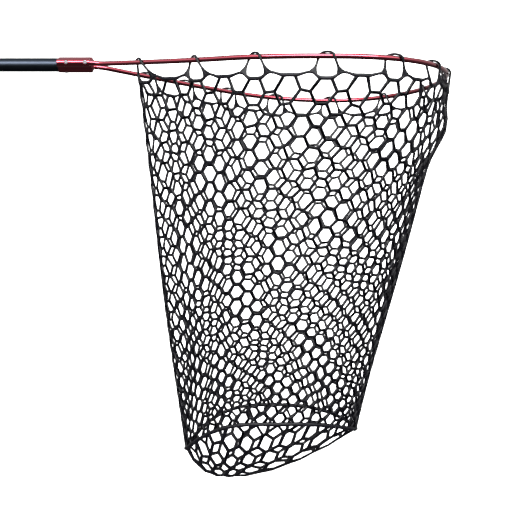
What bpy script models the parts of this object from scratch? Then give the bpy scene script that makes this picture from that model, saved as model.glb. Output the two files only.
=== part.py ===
"""Landing net: twist-lock telescopic handle, red anodised hoop and black moulded rubber net bag.

The origin lies on the handle's axis at the middle of the grip. +X runs along the handle towards
the hoop's tip, +Z is up, and the net bag hangs along -Z. All lengths are in metres.
"""

import math

import bmesh
import bpy
from mathutils import Vector

MM = 0.001
CLEARANCE = 0.3 * MM

# Handle: stations along X from the middle of the grip
GRIP_LENGTH = 210 * MM
GRIP_RADIUS = 16.5 * MM
REAR_TUBE_REAR = -129.5 * MM
REAR_TUBE_FRONT = 150 * MM
REAR_TUBE_RADIUS = 12.7 * MM
FRONT_TUBE_REAR = -105 * MM
FRONT_TUBE_RADIUS = 11 * MM
TUBE_WALL = 1.2 * MM
BUSH_BORE = 6 * MM
BUSH_FLANGE = 6 * MM
BUSH_NECK = 14 * MM
GRIP_EDGE = 2.5 * MM
GROOVE_DEPTH = 1.2 * MM
GROOVE_PITCH = 30 * MM
GROOVES = 3
CAP_REAR = -136 * MM
CAP_WALL = 2.5 * MM
CAP_CORNER = 1.5 * MM
CAP_LIP_CORNER = 0.5 * MM
LUG_REACH = 20 * MM
LUG_HALF_HEIGHT = 7 * MM
LUG_THICKNESS = 5 * MM
RING_X = CAP_REAR - 11 * MM
RING_RADIUS = 13 * MM
RING_WIRE = 1.5 * MM
RING_HOLE = 2.7 * MM
FERRULE_REAR = 119 * MM
FERRULE_COLLAR = 16.5 * MM
FERRULE_THREAD = 15 * MM
FERRULE_CORNER = 1 * MM
COLLET_RADIUS = 14.4 * MM
COLLET_TIP = 12.8 * MM
COLLET_SHOULDER = 5 * MM
COLLET_LENGTH = 17 * MM
COLLET_SLIT = 2.5 * MM
NUT_REAR = 125.5 * MM
NUT_FRONT = 176 * MM
NUT_RADIUS = 18.5 * MM
NUT_RIBS = 12
NUT_RIB_HEIGHT = 1 * MM
NUT_BORE = FERRULE_THREAD + 0.4 * MM
NUT_TAPER = COLLET_RADIUS + 0.4 * MM
NUT_LIP = COLLET_TIP + 0.4 * MM
NUT_NOSE = 14 * MM
NUT_CORNER = 1 * MM
NUT_CORNER_LENGTH = 1.5 * MM
NUT_RUN_IN = 5 * MM
NUT_RUN_OUT = 9 * MM
NUT_NOSE_LENGTH = 5 * MM

# Yoke: a round barrel for the handle with a lobe on each side for a hoop leg
EXIT_X = 350 * MM
YOKE_REAR = EXIT_X - 55.6 * MM
YOKE_FRONT = EXIT_X - 3.5 * MM
BARREL_RADIUS = 12.5 * MM
BARREL_FLAT = 12.2 * MM
WEB_HALF_HEIGHT = 4.5 * MM
LOBE_RADIUS = 6.4 * MM
LEG_Y = 20 * MM
LEG_REAR = EXIT_X - 52 * MM
SCREW_STATIONS = (EXIT_X - 40.5 * MM, EXIT_X - 10.5 * MM)
SCREW_HEAD_RADIUS = 3 * MM
SCREW_SEAT = LEG_Y + 5.5 * MM
SCREW_TOP = LEG_Y + 7.3 * MM
SCREW_CORNER = 0.7 * MM
SOCKET_RADIUS = 1.5 * MM
SOCKET_DEPTH = 1.2 * MM
SHANK_RADIUS = 1.5 * MM
RIVET_X = EXIT_X - 44 * MM
RIVET_HEAD = 3 * MM
RIVET_DOME = 0.6 * MM
RIVET_TAIL = 2 * MM
PLUG_STEM = 10 * MM
PLUG_GAP = 0.5 * MM
PLUG_COLLAR = 0.8 * MM
PLUG_NOSE = 4.5 * MM
PLUG_NOSE_RADIUS = 6.3 * MM

# Hoop: two splayed straight legs, round shoulders and an elliptical end
HOOP_TUBE_RADIUS = 4 * MM
HOOP_TUBE_WALL = 1.2 * MM
LEG_LEAD = 2 * MM
LEG_STRAIGHT = 4 * MM
LEG_BEND_RADIUS = 28 * MM
SPLAY = math.radians(37)
WIDEST_X = EXIT_X + 386 * MM
HALF_WIDTH = 229 * MM
TIP_X = EXIT_X + 560 * MM
DROOP = 26 * MM
DROOP_QUARTER = 415 * MM
BEND_STEPS = 6
LEG_STEPS = 5
END_STEPS = 12

# Net: rim cord and loops under the hoop, a tapering wall, a seam and a sagging bottom
THROAT_X = EXIT_X + 65 * MM
THROAT_SIDE_X = EXIT_X + 70 * MM
THROAT_CORNER = 5 * MM
THROAT_STEPS = 6
FIRST_LOOP = 10 * MM
RIM_DROP = 30 * MM
RIM_RADIUS = 2.6 * MM
LOOP_RADIUS = 2 * MM
LOOP_SPREAD = 18 * MM
NEAR_GAPS = 6
NEAR_CROWDING = 0.1
FAR_GAPS = 7
FAR_SPACING_POWER = 1.12
WALL_TOP_DROP = 35 * MM
THROAT_INSET = 10 * MM
NET_THICKNESS = 0.8 * MM
SEAM_RADIUS = 3 * MM
SEAM_CENTRE_X = EXIT_X + 283 * MM
SEAM_HALF_LENGTH = 135.5 * MM
SEAM_HALF_WIDTH = 120 * MM
SEAM_Z = -558 * MM
SEAM_REAR_DIP = 54 * MM
SEAM_FRONT_DIP = 22 * MM
BOWL_X = EXIT_X + 228 * MM
BOWL_Z = -657 * MM
WALL_ROWS = 6
WALL_STOP = 3.6 * MM
BOTTOM_STOP = 4.5 * MM
BOTTOM_DROP = 1.5 * MM
BOTTOM_ROWS = (0.82, 0.58, 0.32)
AROUND = 44
RIM_STEPS = 2 * AROUND


def clear_scene():
    for item in list(bpy.data.objects):
        bpy.data.objects.remove(item, do_unlink=True)


def finish(name, colour, roughness, metallic):
    """A Principled material for one sub-part."""
    material = bpy.data.materials.new(name + "_finish")
    material.use_nodes = True
    shader = material.node_tree.nodes["Principled BSDF"]
    shader.inputs["Base Color"].default_value = (*colour, 1)
    shader.inputs["Roughness"].default_value = roughness
    shader.inputs["Metallic"].default_value = metallic
    return material


RED_ANODISED = ((0.36, 0.012, 0.03), 0.28, 1)
BLACK_ANODISED = ((0.014, 0.014, 0.018), 0.35, 1)
STEEL = ((0.55, 0.56, 0.58), 0.25, 1)
BLACK_PLASTIC = ((0.02, 0.02, 0.022), 0.5, 0)
WHITE_PLASTIC = ((0.7, 0.7, 0.68), 0.5, 0)
FOAM = ((0.016, 0.016, 0.017), 0.9, 0)
RUBBER = ((0.01, 0.01, 0.011), 0.55, 0)


def mesh_object(name, mesh, look):
    """A named object for a sub-part, smooth where it is round and sharp at its corners."""
    item = bpy.data.objects.new(name, mesh)
    bpy.context.scene.collection.objects.link(item)
    mesh.materials.append(finish(name, *look))
    mesh.shade_smooth()
    mesh.set_sharp_from_angle(angle=math.radians(35))
    return item


def bmesh_object(name, shape, look):
    bmesh.ops.remove_doubles(shape, verts=shape.verts, dist=0.00001)
    bmesh.ops.recalc_face_normals(shape, faces=shape.faces)
    mesh = bpy.data.meshes.new(name)
    shape.to_mesh(mesh)
    shape.free()
    return mesh_object(name, mesh, look)


def cutter(name, shape):
    """A guide body that other pieces are cut with or joined to."""
    item = bmesh_object(name, shape, BLACK_PLASTIC)
    item.hide_render = True
    item.display_type = "WIRE"
    return item


def combine(item, other, operation):
    """Cut the other body from an object, or join it on, with an exact Boolean."""
    step = item.modifiers.new(operation.lower() + "_" + other.name, "BOOLEAN")
    step.operation = operation
    step.solver = "EXACT"
    step.object = other


def turned(profile, segments):
    """Spin a profile of (x, radius) points about the handle's axis."""
    shape = bmesh.new()
    corners = [shape.verts.new((x, 0, radius)) for x, radius in profile]
    edges = [shape.edges.new(pair) for pair in zip(corners, corners[1:])]
    if profile[0][1] > 0:
        edges.append(shape.edges.new((corners[-1], corners[0])))
    bmesh.ops.spin(shape, geom=corners + edges, cent=(0, 0, 0), axis=(1, 0, 0),
                   angle=2 * math.pi, steps=segments, use_duplicate=False)
    return shape


def sleeve(rear, front, inner, outer, edge=0.4 * MM):
    """Profile of a plain tube with its outer corners broken."""
    return [(rear, inner), (rear, outer - edge), (rear + edge, outer),
            (front - edge, outer), (front, outer - edge), (front, inner)]


def rod(start, end, radius, segments=16):
    """A plain round bar between two points."""
    shape = bmesh.new()
    way = Vector(end) - Vector(start)
    bmesh.ops.create_cone(shape, cap_ends=True, segments=segments, radius1=radius,
                          radius2=radius, depth=way.length)
    turn = Vector((0, 0, 1)).rotation_difference(way).to_matrix()
    bmesh.ops.rotate(shape, verts=shape.verts, matrix=turn)
    bmesh.ops.translate(shape, verts=shape.verts, vec=(Vector(start) + Vector(end)) / 2)
    return shape


def swept_mesh(name, points, radius, resolution, closed, capped):
    """A round cord or tube along a route, as a mesh."""
    curve = bpy.data.curves.new(name + "_route", "CURVE")
    curve.dimensions = "3D"
    curve.bevel_depth = radius
    curve.bevel_resolution = resolution
    curve.use_fill_caps = capped
    line = curve.splines.new("POLY")
    line.points.add(len(points) - 1)
    for point, place in zip(line.points, points):
        point.co = (*place, 1)
    line.use_cyclic_u = closed
    guide = bpy.data.objects.new(name + "_route", curve)
    bpy.context.scene.collection.objects.link(guide)
    graph = bpy.context.evaluated_depsgraph_get()
    mesh = bpy.data.meshes.new_from_object(guide.evaluated_get(graph))
    bpy.data.objects.remove(guide, do_unlink=True)
    return mesh


def swept(name, points, radius, resolution, look, closed=False, capped=True):
    shape = bmesh.new()
    shape.from_mesh(swept_mesh(name, points, radius, resolution, closed, capped))
    return bmesh_object(name, shape, look)


# Handle


def rear_tube():
    inner = REAR_TUBE_RADIUS - TUBE_WALL
    return bmesh_object("rear_tube", turned(
        sleeve(REAR_TUBE_REAR, REAR_TUBE_FRONT, inner, REAR_TUBE_RADIUS), 32), BLACK_ANODISED)


def front_tube():
    inner = FRONT_TUBE_RADIUS - TUBE_WALL
    front = YOKE_FRONT - PLUG_STEM - PLUG_GAP
    return bmesh_object("front_tube", turned(
        sleeve(FRONT_TUBE_REAR, front, inner, FRONT_TUBE_RADIUS), 32), BLACK_ANODISED)


def guide_bush():
    """Flanged bush in the front tube's rear end, which runs inside the rear tube."""
    neck = FRONT_TUBE_RADIUS - TUBE_WALL - CLEARANCE
    flange = REAR_TUBE_RADIUS - TUBE_WALL - CLEARANCE
    shoulder = FRONT_TUBE_REAR - CLEARANCE
    rear = shoulder - BUSH_FLANGE
    front = shoulder + BUSH_NECK
    profile = [(rear, BUSH_BORE), (rear, flange), (shoulder, flange),
               (shoulder, neck), (front, neck), (front, BUSH_BORE)]
    return bmesh_object("guide_bush", turned(profile, 24), WHITE_PLASTIC)


def grip_sleeve():
    """Foam grip with rounded ends and three shallow finger grooves."""
    inner = REAR_TUBE_RADIUS + CLEARANCE
    half = GRIP_LENGTH / 2
    steps = 18
    profile = [(-half, inner), (-half, GRIP_RADIUS - GRIP_EDGE)]
    for step in range(steps + 1):
        x = (half - GRIP_EDGE) * (2 * step / steps - 1)
        wave = math.sin(math.pi * (x / GROOVE_PITCH + 0.5)) ** 2
        grooved = abs(x - GROOVE_PITCH) < GROOVES * GROOVE_PITCH / 2
        profile.append((x, GRIP_RADIUS - (GROOVE_DEPTH * wave if grooved else 0)))
    profile += [(half, GRIP_RADIUS - GRIP_EDGE), (half, inner)]
    return bmesh_object("grip_sleeve", turned(profile, 24), FOAM)


def end_cap():
    """Moulded cup over the rear tube's end, with a lug for the ring."""
    inner = REAR_TUBE_RADIUS + CLEARANCE
    outer = inner + CAP_WALL
    lip = -GRIP_LENGTH / 2 - CAP_LIP_CORNER
    floor = REAR_TUBE_REAR - CLEARANCE
    profile = [(CAP_REAR, 0), (CAP_REAR, outer - CAP_CORNER), (CAP_REAR + CAP_CORNER, outer),
               (lip - CAP_LIP_CORNER, outer), (lip, outer - CAP_LIP_CORNER), (lip, inner),
               (floor, inner), (floor, 0)]
    cap = bmesh_object("end_cap", turned(profile, 28), BLACK_PLASTIC)
    combine(cap, cutter("lug_body", lug_shape()), "UNION")
    half = LUG_THICKNESS
    combine(cap, cutter("lug_hole", rod((RING_X, -half, 0), (RING_X, half, 0), RING_HOLE)),
            "DIFFERENCE")
    return cap


def lug_shape():
    """Flat tongue with a round end, rooted in the cap's end wall."""
    shape = bmesh.new()
    root = CAP_REAR + 2 * MM
    centre = CAP_REAR - LUG_REACH + LUG_HALF_HEIGHT
    outline = [(root, LUG_HALF_HEIGHT)]
    for step in range(11):
        angle = math.pi / 2 + math.pi * step / 10
        outline.append((centre + LUG_HALF_HEIGHT * math.cos(angle),
                        LUG_HALF_HEIGHT * math.sin(angle)))
    outline.append((root, -LUG_HALF_HEIGHT))
    corners = [shape.verts.new((x, -LUG_THICKNESS / 2, z)) for x, z in outline]
    face = shape.faces.new(corners)
    grown = bmesh.ops.extrude_face_region(shape, geom=[face])
    moved = [item for item in grown["geom"] if isinstance(item, bmesh.types.BMVert)]
    bmesh.ops.translate(shape, verts=moved, vec=(0, LUG_THICKNESS, 0))
    return shape


def hang_ring():
    """Closed wire ring that hangs from the lug, with its hinge on the lug's hole."""
    points = []
    for step in range(28):
        angle = 2 * math.pi * step / 28
        points.append((RING_X, RING_RADIUS * math.sin(angle),
                       RING_RADIUS * (math.cos(angle) - 1)))
    return swept("hang_ring", points, RING_WIRE, 2, STEEL, closed=True, capped=False)


def lock_ferrule():
    """Threaded sleeve on the rear tube's mouth, with a collar behind the nut."""
    inner = REAR_TUBE_RADIUS + CLEARANCE
    collar_front = NUT_REAR - 1.5 * MM
    profile = [(FERRULE_REAR, inner), (FERRULE_REAR, FERRULE_COLLAR - FERRULE_CORNER),
               (FERRULE_REAR + FERRULE_CORNER, FERRULE_COLLAR),
               (collar_front, FERRULE_COLLAR), (collar_front + FERRULE_CORNER, FERRULE_THREAD),
               (REAR_TUBE_FRONT, FERRULE_THREAD), (REAR_TUBE_FRONT, inner)]
    return bmesh_object("lock_ferrule", turned(profile, 28), BLACK_PLASTIC)


def lock_collet():
    """Tapered split ring that the nut squeezes on the front tube."""
    inner = FRONT_TUBE_RADIUS + CLEARANCE
    rear = REAR_TUBE_FRONT + CLEARANCE
    front = rear + COLLET_LENGTH
    profile = [(rear, inner), (rear, COLLET_RADIUS), (rear + COLLET_SHOULDER, COLLET_RADIUS),
               (front, COLLET_TIP), (front, inner)]
    collet = bmesh_object("lock_collet", turned(profile, 24), WHITE_PLASTIC)
    slit = bmesh.new()
    bmesh.ops.create_cube(slit, size=1)
    bmesh.ops.scale(slit, verts=slit.verts,
                    vec=(2 * COLLET_LENGTH, COLLET_SLIT, 2 * COLLET_SHOULDER))
    bmesh.ops.translate(slit, verts=slit.verts,
                        vec=(rear + COLLET_LENGTH / 2, 0, -COLLET_TIP))
    combine(collet, cutter("collet_slit", slit), "DIFFERENCE")
    return collet


def lock_nut():
    """Ribbed twist collar around the ferrule and the collet."""
    taper = REAR_TUBE_FRONT + CLEARANCE + COLLET_SHOULDER
    lip = taper + COLLET_LENGTH - COLLET_SHOULDER + 2 * CLEARANCE
    low = NUT_RADIUS - NUT_RIB_HEIGHT
    bore = [(lip, FRONT_TUBE_RADIUS + 2 * CLEARANCE), (lip, NUT_LIP), (taper, NUT_TAPER),
            (taper, NUT_BORE), (NUT_REAR, NUT_BORE)]
    outer = [(NUT_REAR, low - NUT_CORNER), (NUT_REAR + NUT_CORNER_LENGTH, low)]
    ribbed = [(NUT_REAR + NUT_RUN_IN, NUT_RADIUS), (NUT_FRONT - NUT_RUN_OUT, NUT_RADIUS)]
    nose = [(NUT_FRONT - NUT_NOSE_LENGTH, low), (NUT_FRONT, NUT_NOSE),
            (NUT_FRONT, FRONT_TUBE_RADIUS + 2 * CLEARANCE)]
    profile = bore + outer + ribbed + nose
    shape = bmesh.new()
    rings = []
    steps = NUT_RIBS * 4
    for step in range(steps):
        angle = 2 * math.pi * step / steps
        rib = 1 if step % 4 < 2 else 0
        ring = []
        for x, radius in profile:
            radius -= NUT_RIB_HEIGHT * (1 - rib) if (x, radius) in ribbed else 0
            ring.append(shape.verts.new((x, radius * math.sin(angle), radius * math.cos(angle))))
        rings.append(ring)
    skin(shape, rings, across_closed=True, along_closed=True)
    return bmesh_object("lock_nut", shape, BLACK_PLASTIC)


def skin(shape, rings, across_closed, along_closed):
    """Faces between rows of vertices."""
    count = len(rings)
    width = len(rings[0])
    for row in range(count if along_closed else count - 1):
        for column in range(width if across_closed else width - 1):
            following = rings[(row + 1) % count]
            beside = (column + 1) % width
            shape.faces.new((rings[row][column], rings[row][beside],
                             following[beside], following[column]))


# Yoke


def yoke_section():
    """Half outline of the extrusion, from the top flat round the lobe to the underside."""
    flat_angle = math.acos(BARREL_FLAT / BARREL_RADIUS)
    web_angle = math.acos(WEB_HALF_HEIGHT / BARREL_RADIUS)
    lobe_angle = math.asin(WEB_HALF_HEIGHT / LOBE_RADIUS)
    upper = []
    for step in range(9):
        angle = flat_angle + (web_angle - flat_angle) * step / 8
        upper.append((BARREL_RADIUS * math.sin(angle), BARREL_RADIUS * math.cos(angle)))
    lobe = []
    for step in range(13):
        angle = math.pi - lobe_angle - 2 * (math.pi - lobe_angle) * step / 12
        lobe.append((LEG_Y + LOBE_RADIUS * math.cos(angle), LOBE_RADIUS * math.sin(angle)))
    lower = [(y, -z) for y, z in reversed(upper)]
    return upper + lobe + lower


def yoke():
    half = yoke_section()
    outline = half + [(-y, z) for y, z in reversed(half)]
    shape = bmesh.new()
    corners = [shape.verts.new((YOKE_REAR, y, z)) for y, z in outline]
    face = shape.faces.new(corners)
    grown = bmesh.ops.extrude_face_region(shape, geom=[face])
    moved = [item for item in grown["geom"] if isinstance(item, bmesh.types.BMVert)]
    bmesh.ops.translate(shape, verts=moved, vec=(YOKE_FRONT - YOKE_REAR, 0, 0))
    block = bmesh_object("yoke", shape, RED_ANODISED)
    past = 5 * MM
    bore = FRONT_TUBE_RADIUS + CLEARANCE
    combine(block, cutter("barrel_bore", rod(
        (YOKE_REAR - past, 0, 0), (YOKE_FRONT + past, 0, 0), bore, 40)), "DIFFERENCE")
    for side in (-1, 1):
        combine(block, cutter("leg_bore_" + side_name(side), rod(
            (YOKE_REAR - past, side * LEG_Y, 0), (YOKE_FRONT + past, side * LEG_Y, 0),
            HOOP_TUBE_RADIUS + CLEARANCE, 20)), "DIFFERENCE")
    return block


def side_name(side):
    return "near" if side < 0 else "far"


def barrel_plug():
    """Plug with a blunt conical nose that closes the barrel in front of the handle."""
    stem = FRONT_TUBE_RADIUS
    rear = YOKE_FRONT - PLUG_STEM
    face = YOKE_FRONT + CLEARANCE
    tip = YOKE_FRONT + PLUG_NOSE
    profile = [(rear, 0), (rear, stem), (face, stem), (face, BARREL_RADIUS),
               (YOKE_FRONT + PLUG_COLLAR, BARREL_RADIUS), (tip, PLUG_NOSE_RADIUS), (tip, 0)]
    return bmesh_object("barrel_plug", turned(profile, 28), RED_ANODISED)


def leg_screw(name, x, side):
    """Socket-head screw through the lobe into the hoop leg."""
    seat = SCREW_SEAT - LEG_Y
    top = SCREW_TOP - LEG_Y
    shape = turned([(0, 0), (0, SHANK_RADIUS), (seat, SHANK_RADIUS), (seat, SCREW_HEAD_RADIUS),
                    (top - SCREW_CORNER, SCREW_HEAD_RADIUS),
                    (top, SCREW_HEAD_RADIUS - SCREW_CORNER), (top, 0)], 18)
    screw = bmesh_object(name, shape, STEEL)
    screw.location = (x, side * LEG_Y, 0)
    screw.rotation_euler = (0, 0, side * math.pi / 2)
    socket = cutter(name + "_socket", rod((x, side * (SCREW_TOP - SOCKET_DEPTH), 0),
                                          (x, side * (SCREW_TOP + SOCKET_DEPTH), 0),
                                          SOCKET_RADIUS, 6))
    combine(screw, socket, "DIFFERENCE")
    return screw


def screw_hole(name, x, side):
    """Stepped hole for a leg screw: a shank hole with a wider seat for the head."""
    seat = SCREW_SEAT - LEG_Y - CLEARANCE
    past = 12 * MM
    shape = turned([(CLEARANCE, 0), (CLEARANCE, SHANK_RADIUS + CLEARANCE),
                    (seat, SHANK_RADIUS + CLEARANCE), (seat, SCREW_HEAD_RADIUS + CLEARANCE),
                    (past, SCREW_HEAD_RADIUS + CLEARANCE), (past, 0)], 22)
    item = cutter(name + "_hole", shape)
    item.location = (x, side * LEG_Y, 0)
    item.rotation_euler = (0, 0, side * math.pi / 2)
    return item


def leg_screws(block, tube):
    """Two screws in each lobe, with their holes in the lobe and in the leg."""
    for side in (-1, 1):
        for number, x in enumerate(SCREW_STATIONS, start=1):
            name = "leg_screw_" + side_name(side) + "_" + str(number)
            hole = screw_hole(name, x, side)
            combine(block, hole, "DIFFERENCE")
            combine(tube, hole, "DIFFERENCE")
            leg_screw(name, x, side)


def handle_rivet(block, tube):
    """Low dome rivet under the barrel that holds the front tube in the yoke."""
    inside = FRONT_TUBE_RADIUS - TUBE_WALL - RIVET_TAIL
    seat = BARREL_FLAT + CLEARANCE
    profile = [(inside, 0), (inside, SHANK_RADIUS), (seat, SHANK_RADIUS), (seat, RIVET_HEAD)]
    for step in range(1, 5):
        angle = math.pi / 2 * step / 5
        profile.append((seat + RIVET_DOME * math.sin(angle), RIVET_HEAD * math.cos(angle)))
    profile.append((seat + RIVET_DOME, 0))
    rivet = bmesh_object("handle_rivet", turned(profile, 20), STEEL)
    rivet.location = (RIVET_X, 0, 0)
    rivet.rotation_euler = (0, math.pi / 2, 0)
    past = 3 * MM
    hole = cutter("rivet_hole", rod((RIVET_X, 0, -inside), (RIVET_X, 0, -seat - past),
                                    SHANK_RADIUS + CLEARANCE, 12))
    combine(block, hole, "DIFFERENCE")
    combine(tube, hole, "DIFFERENCE")
    return rivet


# Hoop


def droop(x):
    """Height of the hoop's centreline: it sinks gently ahead of the yoke and levels out."""
    ahead = max(0, x - EXIT_X)
    return -DROOP * math.sin(math.pi / 2 * ahead / DROOP_QUARTER)


def side_outline():
    """Plan of one side of the hoop from its bend at the yoke to the tip, with y positive."""
    points = []
    bend_x = EXIT_X + LEG_STRAIGHT
    for step in range(BEND_STEPS + 1):
        angle = SPLAY * step / BEND_STEPS
        points.append((bend_x + LEG_BEND_RADIUS * math.sin(angle),
                       LEG_Y + LEG_BEND_RADIUS * (1 - math.cos(angle))))
    end_x, end_y = points[-1]
    rise = math.tan(SPLAY) * (WIDEST_X - end_x) - (HALF_WIDTH - end_y)
    shoulder = rise / (1 / math.cos(SPLAY) - 1)
    start = (WIDEST_X - shoulder * math.sin(SPLAY),
             HALF_WIDTH - shoulder * (1 - math.cos(SPLAY)))
    for step in range(1, LEG_STEPS):
        part = step / LEG_STEPS
        points.append((end_x + (start[0] - end_x) * part, end_y + (start[1] - end_y) * part))
    for step in range(BEND_STEPS + 1):
        angle = SPLAY * (1 - step / BEND_STEPS)
        points.append((WIDEST_X - shoulder * math.sin(angle),
                       HALF_WIDTH - shoulder * (1 - math.cos(angle))))
    for step in range(1, END_STEPS + 1):
        angle = math.pi / 2 * step / END_STEPS
        points.append((WIDEST_X + (TIP_X - WIDEST_X) * math.sin(angle),
                       HALF_WIDTH * math.cos(angle)))
    points[-1] = (TIP_X, 0)
    return points


def hoop():
    """One bent tube, from its near end in the yoke round to the far one."""
    plan = [(LEG_REAR, LEG_Y), (EXIT_X - LEG_LEAD, LEG_Y)] + side_outline()
    far = [(x, y, droop(x)) for x, y in plan]
    near = [(x, -y, z) for x, y, z in far]
    route = near + list(reversed(far[:-1]))
    tube = swept("hoop", route, HOOP_TUBE_RADIUS, 2, RED_ANODISED, capped=False)
    wall = tube.modifiers.new("wall", "SOLIDIFY")
    wall.thickness = HOOP_TUBE_WALL
    wall.offset = -1
    return tube


# Net


def run_lengths(points):
    """Distance along a line of points at each of them."""
    total = [0]
    for before, after in zip(points, points[1:]):
        total.append(total[-1] + (Vector(after) - Vector(before)).length)
    return total


def along(points, lengths, distance):
    """Point at a distance along a line of points."""
    for index in range(1, len(points)):
        if distance <= lengths[index] or index == len(points) - 1:
            span = lengths[index] - lengths[index - 1]
            part = (distance - lengths[index - 1]) / span
            return Vector(points[index - 1]).lerp(Vector(points[index]), part)


def mouth_half():
    """Plan of half the net's mouth: across the throat between the legs, then under the hoop."""
    side = [point for point in side_outline() if point[0] > THROAT_SIDE_X + THROAT_CORNER]
    leg_x, leg_y = side_outline()[BEND_STEPS]
    throat_y = leg_y + math.tan(SPLAY) * (THROAT_SIDE_X - leg_x)
    across = []
    for step in range(THROAT_STEPS + 1):
        part = math.sin(math.pi / 2 * step / THROAT_STEPS)
        across.append((THROAT_X + (THROAT_SIDE_X - THROAT_X) * part ** 3, throat_y * part))
    return [(x, y, 0) for x, y in across + side]


HALF = mouth_half()
HALF_RUN = run_lengths(HALF)
HALF_LENGTH = HALF_RUN[-1]


def throat_length():
    """Distance along the mouth from the throat's middle to where it meets a leg."""
    return HALF_RUN[THROAT_STEPS]


def mouth(distance):
    """Point on the hoop's level over the net's mouth, starting at the throat on the near side."""
    distance %= 2 * HALF_LENGTH
    near = distance <= HALF_LENGTH
    point = along(HALF, HALF_RUN, distance if near else 2 * HALF_LENGTH - distance)
    point.y *= -1 if near else 1
    point.z = droop(point.x)
    return point


def seam_angle(fraction):
    """Ellipse angle at a fraction of the seam's length, measured from its rear end."""
    steps = 360
    run = 0
    lengths = [0]
    for step in range(steps):
        angle = 2 * math.pi * (step + 0.5) / steps
        run += math.hypot(SEAM_HALF_LENGTH * math.sin(angle), SEAM_HALF_WIDTH * math.cos(angle))
        lengths.append(run)
    goal = fraction * run
    for step in range(steps):
        if lengths[step + 1] >= goal:
            part = (goal - lengths[step]) / (lengths[step + 1] - lengths[step])
            return 2 * math.pi * (step + part) / steps
    return 2 * math.pi


def seam(fraction):
    """Point on the seam between the wall and the bottom; its rear corner hangs lowest."""
    angle = seam_angle(fraction)
    rearward = max(0, math.cos(angle)) ** 3
    forward = max(0, -math.cos(angle)) ** 3
    return Vector((SEAM_CENTRE_X - SEAM_HALF_LENGTH * math.cos(angle),
                   -SEAM_HALF_WIDTH * math.sin(angle),
                   SEAM_Z - SEAM_REAR_DIP * rearward - SEAM_FRONT_DIP * forward))


def wall_point(fraction, depth):
    """Point on the wall; depth runs from 0 at its top edge to 1 at the seam."""
    top = mouth(fraction * 2 * HALF_LENGTH)
    top.z -= WALL_TOP_DROP
    top.x += THROAT_INSET * max(0, math.cos(2 * math.pi * fraction)) ** 4
    return top.lerp(seam(fraction), depth)


def bottom_point(fraction, out):
    """Point on the sagging bottom; out runs from 0 at its lowest point to 1 at the seam."""
    edge = seam(fraction)
    rearward = max(0, math.cos(seam_angle(fraction)))
    power = 1.65 + 1.9 * rearward ** 2
    low = Vector((BOWL_X, 0, BOWL_Z))
    point = low.lerp(edge, out)
    point.z = BOWL_Z + (edge.z - BOWL_Z) * out ** power
    return point


def shell(name, rows, centre=None):
    """A thin rubber shell through rows of points, closed round, perhaps with a middle point."""
    shape = bmesh.new()
    rings = [[shape.verts.new(point) for point in row] for row in rows]
    skin(shape, rings, across_closed=True, along_closed=False)
    if centre:
        middle = shape.verts.new(centre)
        last = rings[-1]
        for index, corner in enumerate(last):
            shape.faces.new((corner, last[(index + 1) % len(last)], middle))
    mesh = bpy.data.meshes.new(name)
    shape.to_mesh(mesh)
    shape.free()
    item = mesh_object(name, mesh, RUBBER)
    thick = item.modifiers.new("thickness", "SOLIDIFY")
    thick.thickness = NET_THICKNESS
    thick.offset = 0
    return item


def net_wall():
    last = 1 - WALL_STOP / abs(SEAM_Z)
    rows = []
    for row in range(WALL_ROWS):
        depth = last * row / (WALL_ROWS - 1)
        rows.append([wall_point(column / AROUND, depth) for column in range(AROUND)])
    return shell("net_wall", rows)


def net_seam():
    points = [seam(column / AROUND) for column in range(AROUND)]
    return swept("net_seam", points, SEAM_RADIUS, 1, RUBBER, closed=True, capped=False)


def net_bottom():
    first = 1 - BOTTOM_STOP / SEAM_HALF_WIDTH
    rows = []
    for out in (first,) + BOTTOM_ROWS:
        rows.append([bottom_point(column / AROUND, out) for column in range(AROUND)])
    for point in rows[0]:
        point.z -= BOTTOM_DROP
    return shell("net_bottom", rows, centre=(BOWL_X, 0, BOWL_Z))


def loop_stations():
    """Distances along the mouth of the loops that carry the net on the hoop."""
    start = throat_length() + FIRST_LOOP
    side = HALF_LENGTH - start
    near = []
    for step in range(NEAR_GAPS + 1):
        part = step / NEAR_GAPS
        near.append(start + side * (part - NEAR_CROWDING * part ** 3))
    far = []
    for step in range(FAR_GAPS + 1):
        part = (step / FAR_GAPS) ** FAR_SPACING_POWER
        far.append(2 * HALF_LENGTH - start - side * part)
    return near + list(reversed(far))


def loop_route(station):
    """Cord from the rim up inside the hoop tube, over it and down outside to the rim."""
    reach = HOOP_TUBE_RADIUS + LOOP_RADIUS + 2 * CLEARANCE
    points = []
    for step in range(-8, 9):
        part = step / 8
        place = mouth(station + LOOP_SPREAD * part)
        ahead = mouth(station + LOOP_SPREAD * part + 1 * MM)
        outward = (ahead - place).cross(Vector((0, 0, 1))).normalized()
        if abs(part) <= 0.5:
            angle = math.pi * part
            side = reach * math.sin(angle)
            rise = reach * math.cos(angle)
        else:
            leg = (abs(part) - 0.5) / 0.5
            side = math.copysign(reach * (1 - leg), part)
            rise = -RIM_DROP * leg
        points.append(place + outward * side + Vector((0, 0, rise)))
    return points


def net_rim():
    """Rim cord of the net with the loops that pass over the hoop tube."""
    points = []
    for step in range(RIM_STEPS):
        place = mouth(2 * HALF_LENGTH * step / RIM_STEPS)
        place.z -= RIM_DROP
        points.append(place)
    rim = swept("net_rim", points, RIM_RADIUS, 1, RUBBER, closed=True, capped=False)
    loops = bmesh.new()
    for station in loop_stations():
        loops.from_mesh(swept_mesh("loop", loop_route(station), LOOP_RADIUS, 0, False, True))
    combine(rim, cutter("rim_loops", loops), "UNION")
    return rim


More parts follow.
